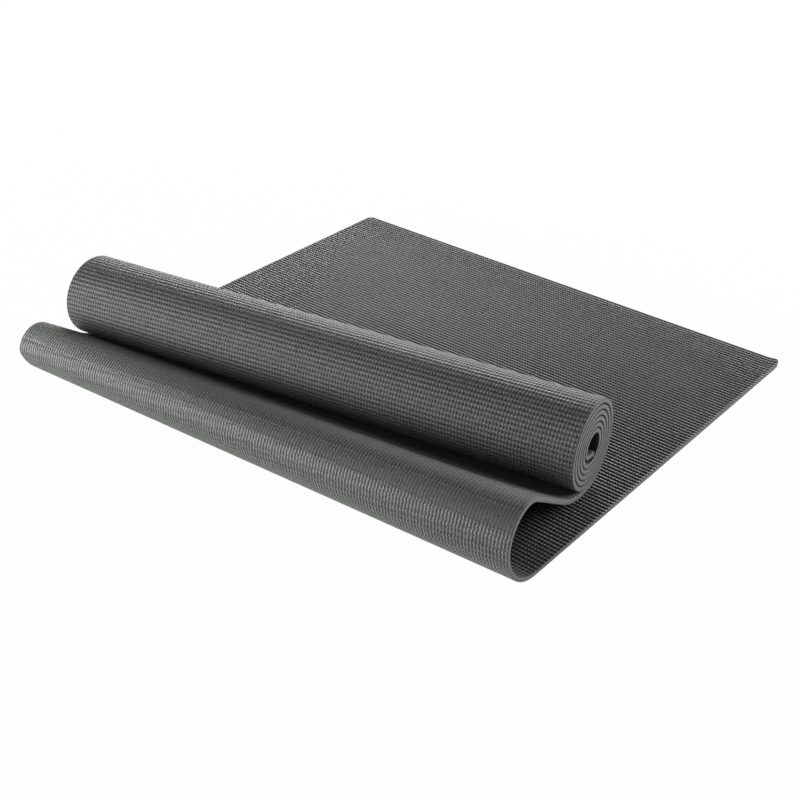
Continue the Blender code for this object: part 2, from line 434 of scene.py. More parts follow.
def columns(count: int, inset: float = 0.0) -> np.ndarray:
    """Places across the sheet, in metres from the far edge, closer at the cut edges."""
    soft = inset + SHEET.edge_softness * np.array([0.0, 0.12, 0.45])
    first, band = inset + SHEET.edge_softness, inset + SHEET.edge_band
    return np.unique(np.concatenate((
        soft, np.linspace(first, SHEET.width - first, count), SHEET.width - soft,
        (band, SHEET.width - band))))


def laid_columns(count: int, inset: float = 0.0) -> np.ndarray:
    """The places across of the laid length, closer still where its near corner lifts."""
    lifted_off = SHEET.width - inset - SHEET.lift_reach * np.arange(1, 8) / 7
    return np.union1d(columns(count, inset), lifted_off)


def rounded_off(depth: np.ndarray, radius: float) -> np.ndarray:
    """What a quarter circle of radius r takes away at a depth d < r from an edge.

    It is r - sqrt(r * r - (r - d) ** 2), and nothing deeper in.
    """
    away = np.clip(radius - depth, 0.0, radius)
    return radius - np.sqrt(radius ** 2 - away ** 2)


@dataclass(frozen=True)
class FaceRelief:
    """Raised rows across the mat with hollows between them, in metres."""

    row_pitch: float = 0.00472
    cell_pitch: float = 0.00342
    depth: float = 0.00090
    roll_from: float = 0.36
    roll_fade: float = 0.07
    pressed_flat: float = 0.14
    slope_from: float = 0.62
    pulled_flat: float = 0.32

    def hollow(self, across: np.ndarray, along: np.ndarray) -> np.ndarray:
        """Depth below the skin: depth * (1 - cos(2 pi along / pitch)) / 2.

        Inside the fold it is pressed flat, and beyond the crest and on the roll stretched:
        there the depth goes evenly over a fade to the share that is left.
        """
        trough = 0.5 - 0.5 * np.cos(along * (math.tau / self.row_pitch))
        pressed = np.clip((along - self.roll_from) / self.roll_fade, 0.0, 1.0)
        stretched = np.clip((along - self.slope_from) / self.roll_fade, 0.0, 1.0)
        kept = (1.0 - pressed * (1.0 - self.pressed_flat)
                + stretched * (self.pulled_flat - self.pressed_flat))
        return self.depth * trough * kept


@dataclass(frozen=True)
class BaseRelief:
    """Ribs along the mat, which wander from side to side over two rows, in metres."""

    rib_pitch: float = 0.00342
    wander: float = 0.00022
    wander_pitch: float = 0.00944
    depth: float = 0.00022
    crest_far: float = 0.6027
    crest_near: float = 0.5657
    stretch: float = 0.016
    pulled_flat: float = 0.60
    pulled_width: float = 0.35

    def hollow(self, across: np.ndarray, along: np.ndarray) -> np.ndarray:
        """Depth below the skin: depth * (1 - cos(2 pi place / pitch)) / 2.

        The place is across plus the wander times cos(2 pi along / wander_pitch). Over the
        stretch before the crest the depth falls evenly to the share that is left beyond it.
        At the far edge, where the fold is loose, nothing is pulled flat.
        """
        place = across + self.wander * np.cos(along * (math.tau / self.wander_pitch))
        groove = 0.5 - 0.5 * np.cos(place * (math.tau / self.rib_pitch))
        crest = self.crest_far + (self.crest_near - self.crest_far) * across / SHEET.width
        taut = 1.0 - np.clip((crest - along) / self.stretch, 0.0, 1.0)
        pull = np.clip(across / self.pulled_width, 0.0, 1.0) * (1.0 - self.pulled_flat)
        return self.depth * groove * (1.0 - taut * pull)


FACE_RELIEF = FaceRelief()
BASE_RELIEF = BaseRelief()


@dataclass
class Shell:
    """A closed stretch of one layer, as rings of points round it, row by row.

    A ring runs along the outer skin and back along the inner one. Each point has its place
    on the sheet: metres across, metres along, and height above the sheet's middle.
    """

    points: np.ndarray
    coords: np.ndarray
    outer_count: int

    def faces(self) -> tuple[np.ndarray, np.ndarray]:
        """Quads between each ring and the next, and the two end faces."""
        rows, count = self.points.shape[:2]
        index = np.arange(rows * count).reshape(rows, count)
        onward = np.roll(index, -1, axis=1)
        quads = np.stack((index[:-1], onward[:-1], onward[1:], index[1:]), axis=2)
        return quads, np.stack((index[0, ::-1], index[-1]))

    def signed_volume(self, quads: np.ndarray) -> float:
        """Volume inside quads, positive where they face out: tetrahedra to a point."""
        points = self.points.reshape(-1, 3)
        a, b, c, d = (points[quads[..., corner].ravel()] - points[0] for corner in range(4))
        return float(np.sum(a * (np.cross(b, c) + np.cross(c, d)))) / 6


@dataclass
class Patch:
    """A stretch of one layer: its rows, its places across, and its two skins.

    The relief fades out between the two lengths of relief_until, by default past the mat.
    """

    rows: list[Row]
    across: np.ndarray
    outer: float
    inner_columns: int = 24
    inner: float = 0.0
    free_end: bool = False
    inner_end: bool = False
    relief: FaceRelief | BaseRelief | None = None
    relief_until: tuple = (9.0, 9.01)

    def shell(self, surface: MatSurface) -> Shell:
        """Work out the points of the patch.

        A point is the sheet's middle, moved along the normal by the layer's offset. Near the
        cut edges the outer skin is rounded off, and the relief fades out evenly over a
        narrow band. At the free end the corners are rounded off too, in the width.
        """
        near, far = row_lengths(self.rows)
        width = SHEET.width
        place = np.tile(self.across, (len(near), 1))
        depth = np.minimum(place, width - place)
        share = place / width
        along = far[:, None] * (1 - share) + near[:, None] * share
        if self.free_end:
            less = rounded_off(along, SHEET.corner_radius)
            place = width / 2 + (place - width / 2) * (width / 2 - less) / (width / 2)
            depth = np.minimum(depth, along)
        if self.inner_end:
            end = surface.end()
            depth = np.minimum(depth, end.far * (1 - share) + end.near * share - along)
        sign = math.copysign(1.0, self.outer - self.inner)
        drop = rounded_off(depth, SHEET.edge_softness)
        if self.relief is not None:
            first, last = self.relief_until
            kept = np.clip((last - along) / (last - first), 0.0, 1.0)
            whole = np.clip(depth / SHEET.edge_band, 0.0, 1.0)
            drop = drop + self.relief.hollow(place, along) * kept * whole
        height = self.outer - sign * drop
        middle, normal = surface.at(place, along)
        count = len(self.across)
        pick = np.unique(np.linspace(0, count - 1, self.inner_columns).astype(int))[::-1]
        ring = np.append(np.arange(count), pick)
        height = np.hstack((height, np.full((len(near), len(pick)), self.inner)))
        return Shell(middle[:, ring] + normal[:, ring] * height[:, :, None],
                     np.stack((place[:, ring], along[:, ring], height), axis=2), count)


class Socket:
    """A shader value that adds Math nodes where it meets numbers or other values."""

    def __init__(self, graph: "Graph", output: bpy.types.NodeSocket) -> None:
        """Wrap an output."""
        self.graph = graph
        self.output = output

    def maths(self, operation: str, *others: "Socket | float") -> "Socket":
        """A Math node on this value and others."""
        return self.graph.node("ShaderNodeMath", {"operation": operation},
                               dict(enumerate((self, *others))))

    def __add__(self, other: "Socket | float") -> "Socket":
        """Sum."""
        return self.maths("ADD", other)

    def __sub__(self, other: "Socket | float") -> "Socket":
        """Difference."""
        return self.maths("SUBTRACT", other)

    def __rsub__(self, other: float) -> "Socket":
        """Difference, reflected."""
        return self.graph.node("ShaderNodeMath", {"operation": "SUBTRACT"},
                               {0: other, 1: self})

    def __mul__(self, other: "Socket | float") -> "Socket":
        """Product."""
        return self.maths("MULTIPLY", other)

    def __pow__(self, other: "Socket | float") -> "Socket":
        """Power."""
        return self.maths("POWER", other)

    __radd__ = __add__
    __rmul__ = __mul__

    def wave(self, period: float) -> "Socket":
        """From 0 to 1 and back over each period: (1 + cos(2 pi x / period)) / 2."""
        return (self * (math.tau / period)).maths("COSINE") * 0.5 + 0.5

    def clamped(self) -> "Socket":
        """The value held between 0 and 1."""
        return self.maths("MAXIMUM", 0.0).maths("MINIMUM", 1.0)

    def past(self, start: float, fade: float = 0.01) -> "Socket":
        """0 up to a start, and evenly up to 1 over a fade beyond it."""
        return ((self - start) * (1 / fade)).clamped()


class Graph:
    """The node tree of a material or a world, written through one method for every node."""

    def __init__(self, owner: bpy.types.Material | bpy.types.World) -> None:
        """Switch the owner's nodes on."""
        owner.use_nodes = True
        self.owner = owner
        self.nodes = owner.node_tree.nodes
        self.links = owner.node_tree.links

    @classmethod
    def material(cls, name: str) -> "Graph":
        """A new material's tree, with a Principled shader."""
        return cls(bpy.data.materials.new(name))

    def node(self, kind: str, settings: dict | None = None,
             inputs: dict | None = None, output: int | str = 0) -> Socket:
        """Add a node.

        Args:
            kind: the node's type.
            settings: attributes set first.
            inputs: values or links, by the socket's number or name.
            output: which output to return.

        Returns:
            The output, wrapped.
        """
        made = self.nodes.new(kind)
        for name, value in (settings or {}).items():
            setattr(made, name, value)
        for name, value in (inputs or {}).items():
            self.feed(made.inputs[name], value)
        return Socket(self, made.outputs[output])

    def feed(self, socket: bpy.types.NodeSocket, value: object) -> None:
        """Link a value to a socket, or set it there."""
        if isinstance(value, Socket):
            self.links.new(value.output, socket)
        else:
            socket.default_value = value

    def surface(self, **inputs: object) -> bpy.types.Material:
        """Feed the shader's sockets, whose names have underscores here for spaces."""
        sockets = self.nodes["Principled BSDF"].inputs
        for name, value in inputs.items():
            self.feed(sockets[name.replace("_", " ")], value)
        return self.owner

    def coords(self) -> tuple[Socket, Socket, Socket]:
        """The sheet's own coordinates: the vector, metres across, metres along."""
        vector = self.node("ShaderNodeAttribute",
                           {"attribute_type": "GEOMETRY", "attribute_name": COORDS},
                           output="Vector")
        split = self.node("ShaderNodeSeparateXYZ", inputs={0: vector})
        across, along = split.output.node.outputs[:2]
        return vector, Socket(self, across), Socket(self, along)

    def noise(self, vector: Socket, size: float, detail: float = 2.0,
              rough: float = 0.5) -> Socket:
        """Noise of a given size in metres, from 0 to 1."""
        return self.node("ShaderNodeTexNoise", inputs={
            "Vector": vector, "Scale": 1 / size, "Detail": detail, "Roughness": rough})

    def mixed(self, factor: Socket, first: object, second: object) -> Socket:
        """A colour between two, by a factor from 0 to 1."""
        return self.node("ShaderNodeMix", {"data_type": "RGBA"},
                         {0: factor, 6: first, 7: second}, output=2)

    def toned(self, colour: Socket, factor: Socket) -> Socket:
        """A colour times a factor."""
        triple = self.node("ShaderNodeCombineXYZ", inputs={0: factor, 1: factor, 2: factor})
        return self.node("ShaderNodeVectorMath", {"operation": "MULTIPLY"},
                         {0: colour, 1: triple})

    def bump(self, height: Socket, distance: float) -> Socket:
        """A normal from a height whose 1 stands for a distance in metres."""
        return self.node("ShaderNodeBump", inputs={"Height": height, "Distance": distance})


@dataclass(frozen=True)
class FaceFinish:
    """The upper skin: a coated mesh's raised rows and bridges, hollows painted dark as shade.
    """

    colour: tuple = (0.258, 0.258, 0.256, 1.0)
    # Painted shade: the colour that the hollows and troughs are darkened towards.
    hollow_shade_colour: tuple = (0.006, 0.006, 0.006, 1.0)
    swing: float = 0.00022
    # Painted shade: from this length on, inside the roll, the skin is painted darker.
    shade_inside_from: float = 1.02
    depth: float = 0.00070
    roughness: float = 0.46
    fine_size: float = 0.0016
    grain_size: float = 0.0009
    coarse_size: float = 0.006
    cell_size: float = 0.0034
    streak_size: float = 0.007
    streak_scale: tuple = (0.04, 1.0, 1.0)
    patch_size: float = 0.11
    # Painted highlight: the rim along the free end is painted paler.
    rim_width: float = 0.040
    rim_fade: float = 0.0125

    def material(self) -> bpy.types.Material:
        """Build it.

        A hollow is the product of a trough between two rows and a gap between two bridges,
        and the row lines swing a little from cell to cell. The hollows and troughs are
        painted dark as shade, and the knots lighter as a painted highlight. Inside the fold
        the skin is pressed flatter and painted darker as shade, on the roll's back it is
        painted less dark, and inside the roll darkest. The rim along the free end is painted
        paler, as a highlight. Plain numbers are shares, and metres of waver where they scale
        the coarse noise.
        """
        graph = Graph.material("face_foam_skin")
        vector, across, along = graph.coords()
        fine = graph.noise(vector, self.fine_size) - 0.5
        grain = graph.noise(vector, self.grain_size, 1.0) - 0.5
        coarse = graph.noise(vector, self.coarse_size, 1.0) - 0.5
        cell = graph.noise(vector, self.cell_size, 0.0)
        drawn_out = graph.node("ShaderNodeMapping",
                               inputs={"Vector": vector, "Scale": self.streak_scale})
        streak = graph.noise(drawn_out, self.streak_size)
        patch = graph.noise(vector, self.patch_size, 3.0) * 0.4 + streak * 0.6
        swing = (across * (math.tau / FACE_RELIEF.cell_pitch)).maths("SINE") * self.swing
        row = (along + swing + coarse * 0.0006).wave(FACE_RELIEF.row_pitch)
        bridge = (across + coarse * 0.0007).wave(FACE_RELIEF.cell_pitch)
        pulled = along.past(FACE_RELIEF.roll_from, FACE_RELIEF.roll_fade)
        back = along.past(FACE_RELIEF.slope_from, FACE_RELIEF.roll_fade)
        trough = (1 - row) ** 1.2
        hollow = (trough * ((1 - bridge) * 0.80 + 0.20) ** 1.3) ** (pulled * 0.6 + 1)
        # Painted highlight: the knots, where rows and bridges cross, are painted lighter below.
        knot = row * bridge
        height = (1 - hollow * (0.8 - pulled * 0.35) + knot * (0.5 + pulled * 0.1)
                  + fine * (pulled * 0.2 + 0.45) + grain * (back * 0.30 + 0.08))
        side = (across.maths("MINIMUM", SHEET.width - across)
                * (1 / SHEET.edge_band)).clamped()
        # Painted highlight: the rim along the free end, painted paler below.
        rim = ((self.rim_width - along) * (1 / self.rim_fade)).clamped()
        # Painted shade: hollows and troughs darkened towards the hollow shade colour, less near
        # the cut edges.
        shade = (hollow * (side * 0.5 + 0.5)
                 * (cell * (pulled * 0.8 + 1.2) + 0.9 - pulled * 0.8)
                 + trough * (pulled * 0.10 - back * 0.72 - rim * 0.30 + 0.72)
                 * (side * 0.3 + 0.7)
                 - fine * 1.3 - grain * 1.8 - knot * (pulled * 0.2 + 0.25) + 0.12).clamped()
        tone = graph.mixed(shade, self.colour, self.hollow_shade_colour)
        # Painted shade: darker inside the fold, less on the roll, darkest inside the roll;
        # painted highlight: paler along the free end's rim.
        shaded = ((1 - pulled * 0.62 + back * 0.145)
                  * (1 - along.past(self.shade_inside_from) * 0.85) * (rim * 0.26 + 1))
        # The patch is the skin's own random tone; the shaded factor is painted shade and
        # highlight.
        worn = graph.toned(graph.toned(tone, patch * 0.56 + 0.72), shaded)
        rough = (hollow * 0.25 + self.roughness + fine * 0.3 + pulled * 0.30 - back * 0.18
                 - knot * (back * 0.16 + 0.04) + (1 - side) * 0.25 + rim * 0.2)
        return graph.surface(Base_Color=worn, Roughness=rough,
                             Normal=graph.bump(height, self.depth))


@dataclass(frozen=True)
class Crease:
    """A line across the mat where it was folded before: lengths at the far and near edge."""

    far: float
    near: float
    curve: float = 1.0
    sharpness: float = 1100.0

    def ahead(self, across: Socket, along: Socket) -> Socket:
        """Metres that a place lies beyond the crease, towards the roll.

        The crease is at far + (near - far) * (across / width) ** curve.
        """
        share = (across * (1 / SHEET.width)).maths("MAXIMUM", 0.0) ** self.curve
        return along - (share * (self.near - self.far) + self.far)

    def mark(self, ahead: Socket) -> Socket:
        """1 on the crease, and 0 from 1 / sharpness metres on either side of it."""
        return (1 - ahead.maths("ABSOLUTE") * self.sharpness).clamped()


@dataclass(frozen=True)
class BaseFinish:
    """The underside's skin: beaded ribs along the mat, polished below the old crease.

    Below the crease the skin is glossier, and a sheen is painted paler there as well.
    """

    colour: tuple = (0.147, 0.153, 0.144, 1.0)
    # Painted shade: the colour that grooves and the gaps between beads are darkened towards.
    groove_shade_colour: tuple = (0.026, 0.028, 0.025, 1.0)
    depth: float = 0.00034
    # Painted sheen: below the lower crease the skin is painted paler, as a reflection.
    painted_sheen_colour: tuple = (0.238, 0.258, 0.234, 1.0)
    braid: float = 0.00030
    # Painted shade: from this length on, inside the roll, the skin is painted darker.
    shade_inside_from: float = 0.72
    roughness: float = 0.60
    polish: float = 0.38
    upper_crease: Crease = Crease(0.5800, 0.5556, 1.5, 1400.0)
    lower_crease: Crease = Crease(0.5860, 0.5354)
    worn_fade: float = 0.002
    between_fade: float = 0.0025
    # From here to the near edge the ribs are quieter, and the skin is painted darker as shade.
    end_from: float = 0.42
    fine_size: float = 0.0015
    grain_size: float = 0.0009
    coarse_size: float = 0.008
    blotch_size: float = 0.010
    patch_size: float = 0.09

    def material(self) -> bpy.types.Material:
        """Build it.

        The ribs swing from side to side and carry a bead in each row. They are quieter over
        the crest, between the two creases and at the near end, and more worn below the lower
        crease, where the skin is glossier and a sheen is painted paler. The grooves and the
        gaps between beads are painted dark as shade, the creases lighter as a highlight; the
        loose far end is painted paler as light, and the near end and the inside of the roll
        darker as shade. Plain numbers are shares, and metres of waver where they scale the
        coarse noise.
        """
        graph = Graph.material("base_foam_skin")
        vector, across, along = graph.coords()
        fine = graph.noise(vector, self.fine_size) - 0.5
        grain = graph.noise(vector, self.grain_size, 1.0) - 0.5
        coarse = graph.noise(vector, self.coarse_size, 1.0) - 0.5
        patch = graph.noise(vector, self.patch_size, 3.0)
        crest = Crease(BASE_RELIEF.crest_far, BASE_RELIEF.crest_near).ahead(across, along)
        upper = self.upper_crease.ahead(across, along) + coarse * 0.0016
        lower = self.lower_crease.ahead(across, along) + coarse * 0.0022
        pull = (across * (1 / BASE_RELIEF.pulled_width)).clamped()
        taut = (1 - (crest * (-1 / BASE_RELIEF.stretch)).clamped()) * pull
        worn = (lower * (-1 / self.worn_fade)).clamped()
        between = ((lower * (1 / self.between_fade)).clamped()
                   * (upper * (-1 / self.between_fade)).clamped())
        # Painted highlight: the creases are painted lighter, besides their bump and gloss.
        line = self.upper_crease.mark(upper) + self.lower_crease.mark(lower) * 0.7
        pitch = BASE_RELIEF.wander_pitch
        wander = (along * (math.tau / pitch)).maths("COSINE")
        braid = (along * (math.tau / pitch * 2)).maths("SINE")
        place = (across + wander * BASE_RELIEF.wander + braid * self.braid
                 + coarse * 0.0006)
        rib = place.wave(BASE_RELIEF.rib_pitch)
        bead = (along + coarse * 0.0008).wave(pitch / 2)
        stitch = (along + across * 0.02).wave(pitch) ** 0.35
        groove = (1 - rib) ** 1.1
        end = across.past(self.end_from, 1 / 6)
        depth = ((1 - taut * (1 - BASE_RELIEF.pulled_flat))
                 * (1 - between * (end * 0.4 + 0.35)) * (1 - end * (1 - worn) * 0.3))
        blotch = graph.noise(vector, self.blotch_size)
        beaded = bead * (worn * 0.7 + 0.3)
        height = (rib * (beaded + stitch * 0.1 + 0.22) * depth * (blotch + 0.4)
                  + fine * 0.50 + grain * 0.5 + line * (fine + 0.6) * 1.6)
        gap = (1 - bead) * (worn * 0.22 + 0.10) + (1 - stitch) * 0.06
        # Painted shade: grooves and the gaps between beads darkened towards the groove shade
        # colour.
        shade = ((groove * (1.35 - pull * 0.50) + gap) * depth - grain * 1.8
                 - fine * (between * 0.5 + 0.8) - line * (fine + 0.5) + 0.08).clamped()
        # Painted sheen: paler colour below the lower crease, where the roughness is lower too.
        skin = graph.mixed(worn, self.colour, self.painted_sheen_colour)
        # Painted light: the loose far end paler, most above the lower crease; painted shade:
        # darker inside the roll and at the near end.
        shaded = (((1 - pull) ** 1.7 * (2.1 - worn * 1.7) + 1)
                  * (1 - along.past(self.shade_inside_from) * 0.8) * (1 - end * 0.16))
        tone = graph.toned(graph.mixed(shade, skin, self.groove_shade_colour), patch * 0.18 + 0.90)
        tone = graph.toned(tone, shaded)
        rough = (self.roughness - worn * (self.roughness - self.polish) - line * 0.15
                 + groove * 0.2 + fine * 0.3)
        return graph.surface(Base_Color=tone, Roughness=rough,
                             Normal=graph.bump(height, self.depth))


@dataclass(frozen=True)
class CutFinish:
    """A cut edge: plain closed-cell foam with fine pores."""

    colour: tuple = (0.138, 0.140, 0.137, 1.0)
    pore_colour: tuple = (0.12, 0.12, 0.12, 1.0)
    # Painted shade: the colour that the cut edges turn to where the roll's turns touch.
    gap_shade_colour: tuple = (0.012, 0.012, 0.012, 1.0)
    rim_from: float = 0.0015
    wound_from: float = 0.72
    rim_sharpness: float = 1800.0
    pore_size: float = 0.0008
    patch_size: float = 0.02
    depth: float = 0.00010
    roughness: float = 0.75

    def material(self) -> bpy.types.Material:
        """Build it: shallow pores, and on the roll rims painted dark as shade where turns
        touch.
        """
        graph = Graph.material("cut_foam")
        vector, _, along = graph.coords()
        height = graph.node("ShaderNodeSeparateXYZ", inputs={0: vector}, output=2)
        wound = along.past(self.wound_from)
        rim = ((height.maths("ABSOLUTE") - self.rim_from)
               * self.rim_sharpness).clamped() * wound
        pores = graph.noise(vector, self.pore_size, 3.0, 0.6)
        patch = graph.noise(vector, self.patch_size)
        shade = ((pores - 0.52) * 2.4).clamped() * 0.5
        tone = graph.mixed(shade, self.colour, self.pore_colour)
        worn = graph.toned(tone, patch * 0.14 + 0.92)
        # Painted shade in the gaps between the roll's turns.
        rimmed = graph.mixed(rim * 0.85, worn, self.gap_shade_colour)
        return graph.surface(Base_Color=rimmed, Roughness=self.roughness,
                             Normal=graph.bump(pores, self.depth))


@dataclass(frozen=True)
class ScrimFinish:
    """The woven polyester mesh inside the foam."""

    colour: tuple = (0.56, 0.56, 0.53, 1.0)
    shade_colour: tuple = (0.20, 0.20, 0.19, 1.0)
    thread_pitch: float = 0.00114
    depth: float = 0.00015
    roughness: float = 0.55

    def material(self) -> bpy.types.Material:
        """Build it: plain weave, over and under at each crossing."""
        graph = Graph.material("scrim_mesh")
        _, across, along = graph.coords()
        warp = across.wave(self.thread_pitch)
        weft = along.wave(self.thread_pitch)
        height = warp * 0.5 + weft * 0.5
        tone = graph.mixed(1 - height, self.colour, self.shade_colour)
        return graph.surface(Base_Color=tone, Roughness=self.roughness,
                             Normal=graph.bump(height, self.depth))


Finish = FaceFinish | BaseFinish | CutFinish | ScrimFinish
FINISHES = {Layer.FACE: (FaceFinish(), CutFinish()), Layer.BASE: (BaseFinish(), CutFinish()),
            Layer.SCRIM: (ScrimFinish(), ScrimFinish())}


@cache
def material_of(finish: Finish) -> bpy.types.Material:
    """A finish's material, made once."""
    return finish.material()


def make_piece(name: str, shell: Shell, layer: Layer) -> bpy.types.Object:
    """Make a shell into an object, with its cut faces in the second material slot.

    Args:
        name: the piece's name.
        shell: its points.
        layer: which layer it is.

    Returns:
        The object, at the origin, with its place in its mesh.
    """
    quads, ends = shell.faces()
    turn = 1 if shell.signed_volume(quads) > 0 else -1
    cut = np.ones(quads.shape[:2], dtype=np.int32)
    cut[:, :shell.outer_count - 1] = 0
    cut[:, shell.outer_count:-1] = 0
    faces = quads.reshape(-1, 4)[:, ::turn].tolist() + ends[:, ::turn].tolist()
    mesh = bpy.data.meshes.new(name)
    mesh.from_pydata(shell.points.reshape(-1, 3), [], faces)
    attribute = mesh.attributes.new(COORDS, "FLOAT_VECTOR", "POINT")
    attribute.data.foreach_set("vector", shell.coords.astype(np.float32).ravel())
    for finish in FINISHES[layer]:
        mesh.materials.append(material_of(finish))
    mesh.polygons.foreach_set("material_index", np.append(cut, (1, 1)).astype(np.int32))
    mesh.shade_smooth()
    mesh.set_sharp_from_angle(angle=SHARP_ANGLE)
    mesh.update()
    piece = placed(name, mesh)
    LOG.info("%s: %d faces", name, len(faces))
    return piece


def scrim_patch(rows: list[Row], across: np.ndarray, inner_columns: int,
                free_end: bool = False) -> Patch:
    """A stretch of the scrim, in the middle of the sheet."""
    half = SHEET.scrim_thickness / 2
    return Patch(rows, across, half, inner_columns, -half, free_end)


@dataclass
class LaidLength:
    """The flat length, as far as the line where the fold's piece takes over."""

    surface: MatSurface
    end: Row
    row_steps: int
    cells: int
    inner_columns: int = 99
    corner_rows: int = 6
    lift_rows: int = 4
    base_rows: int = 60
    scrim_rows: int = 30
    scrim_columns: int = 8

    def patches(self) -> dict[Layer, Patch]:
        """The three layers."""
        across = laid_columns(self.cells)
        soft, corner = SHEET.edge_softness, SHEET.corner_radius
        reach, inset = SHEET.lift_reach, SHEET.scrim_inset
        lead = [FREE_END.on(share * soft) for share in (0.0, *EDGE_SHARES, 1.0)]
        lead.append(FREE_END.on(corner, self.corner_rows))
        fine = math.ceil((self.end.near - corner) / FACE_RELIEF.row_pitch * self.row_steps)
        base = [FREE_END.on(reach, self.corner_rows), self.end.on(steps=self.base_rows)]
        scrim = [FREE_END.on(inset), FREE_END.on(corner, self.corner_rows),
                 FREE_END.on(reach, self.lift_rows), self.end.on(steps=self.scrim_rows)]
        return {
            Layer.FACE: Patch(lead + [self.end.on(steps=fine)], across, -SHEET.half,
                              self.inner_columns, free_end=True, relief=FACE_RELIEF),
            Layer.BASE: Patch(lead + base, across, SHEET.half, self.inner_columns,
                              free_end=True),
            Layer.SCRIM: scrim_patch(scrim, laid_columns(self.scrim_columns, inset),
                                     self.inner_columns, True)}

    def build(self) -> None:
        """Make the layers' pieces, which ride on the laid length's body."""
        for layer, patch in self.patches().items():
            piece = make_piece(f"{layer.value}_laid_skin", patch.shell(self.surface), layer)
            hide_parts(f"{layer.value}_laid")
            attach(piece, "laid_length")


@dataclass
class Fold:
    """The open bend, from the flat length up to its crest.
    """

    surface: MatSurface
    start: Row
    ground: Row
    crest: Row
    row_steps: int
    ribs: int
    low: tuple = (0.0, 0.0, 0.0145)
    high: tuple = (-0.001358, 0.0, 0.063)
    face_columns: int = 72
    wedge_rows: int = 8
    base_rows: int = 74
    scrim_rows: int = 60
    scrim_columns: int = 24

    def patches(self) -> dict[Layer, Patch]:
        """The three layers."""
        start, ground, crest = self.start, self.ground, self.crest
        steps = self.row_steps / FACE_RELIEF.row_pitch
        wedge = math.ceil((ground.far - start.far) * steps)
        rise = math.ceil((crest.near - ground.near) * steps)
        face = [start, ground.on(steps=wedge), crest.on(steps=rise)]
        lead = [start, ground.on(steps=self.wedge_rows)]
        base = lead + [crest.on(steps=self.base_rows)]
        scrim = lead + [crest.on(steps=self.scrim_rows)]
        return {
            Layer.FACE: Patch(face, columns(self.face_columns), -SHEET.half,
                              relief=FACE_RELIEF),
            Layer.BASE: Patch(base, columns(self.ribs), SHEET.half, relief=BASE_RELIEF),
            Layer.SCRIM: scrim_patch(scrim, columns(self.scrim_columns, SHEET.scrim_inset),
                                     self.scrim_columns)}

    def build(self) -> None:
        """Make the layers' pieces, which lie between the one length and the other."""
        for layer, patch in self.patches().items():
            piece = make_piece(f"{layer.value}_fold_skin", patch.shell(self.surface), layer)
            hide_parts(f"{layer.value}_fold")
            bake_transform(piece)


@dataclass
class RolledLength:
    """The slope down from the crest, and the roll."""

    surface: MatSurface
    crest: Row
    foot: Row
    row_steps: int
    ribs: int
    cells: int
    turn: float = 0.300
    fade: float = 0.012
    inner_columns: int = 16
    slope_rows: int = 98
    turn_rows: int = 75
    wound_rows: int = 220
    scrim_rows: tuple = (60, 290)
    scrim_columns: tuple = (16, 8)

    def patches(self) -> list[tuple[str, str, Layer, Patch]]:
        """Every piece: its name, the CAD node that it stands for, its layer, its patch."""
        crest, foot, end = self.crest, self.foot, self.surface.end()
        soft, inset = SHEET.edge_softness, SHEET.scrim_inset
        steps = self.row_steps / FACE_RELIEF.row_pitch
        fall = foot.on(steps=math.ceil((foot.near - crest.near) * steps))
        close = [end.on(-soft, self.wound_rows)]
        close += [end.on(-share * soft) for share in reversed(EDGE_SHARES)]
        close.append(end.on(-END_CLEARANCE))
        across = columns(self.cells)
        fade = foot.near + self.turn
        face = Patch([crest, fall, foot.on(self.turn, math.ceil(self.turn * steps))] + close,
                     across, -SHEET.half, self.inner_columns, inner_end=True,
                     relief=FACE_RELIEF, relief_until=(fade - self.fade, fade))
        falling = Patch([crest, foot.on(steps=self.slope_rows)], columns(self.ribs),
                        SHEET.half, relief=BASE_RELIEF,
                        relief_until=(foot.far - self.fade, foot.far))
        wound = Patch([foot, foot.on(self.turn, self.turn_rows)] + close, across, SHEET.half,
                      self.inner_columns, inner_end=True)
        scrim = scrim_patch([crest, foot.on(steps=self.scrim_rows[0]),
                             end.on(-inset, self.scrim_rows[1])],
                            columns(self.scrim_columns[0], inset), self.scrim_columns[1])
        return [("face_foam_roll_skin", "face_foam_roll", Layer.FACE, face),
                ("base_foam_slope_skin", "base_foam_fold", Layer.BASE, falling),
                ("base_foam_roll_skin", "base_foam_roll", Layer.BASE, wound),
                ("scrim_roll_skin", "scrim_roll", Layer.SCRIM, scrim)]

    def build(self) -> None:
        """Make the pieces, which ride on the rolled length's body."""
        for name, node, layer, patch in self.patches():
            piece = make_piece(name, patch.shell(self.surface), layer)
            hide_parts(node)
            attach(piece, "rolled_length")


@dataclass
class FitnessMat:
    """The whole mat, as one surface cut into three lengths."""

    rise: int = 300
    drop: int = 260
    steps_per_turn: int = 240
    row_steps: int = 8
    rib_steps: int = 5
    cells: int = 44
    fold_start: float = 0.44

    def build(self) -> None:
        """Lay the surface out and make the laid length, the fold and the rolled length."""
        surface = MatSurface.lay_out(self.rise, self.drop, self.steps_per_turn)
        near, far = surface.near.length, surface.far.length
        ground, crest, foot = (
            Row(near[station], far[station])
            for station in (1, 1 + self.rise, 1 + self.rise + self.drop))
        start = FREE_END.on(self.fold_start)
        ribs = int(SHEET.width / BASE_RELIEF.rib_pitch * self.rib_steps)
        LaidLength(surface, start, self.row_steps, self.cells).build()
        Fold(surface, start, ground, crest, self.row_steps, ribs).build()
        RolledLength(surface, crest, foot, self.row_steps, ribs, self.cells).build()


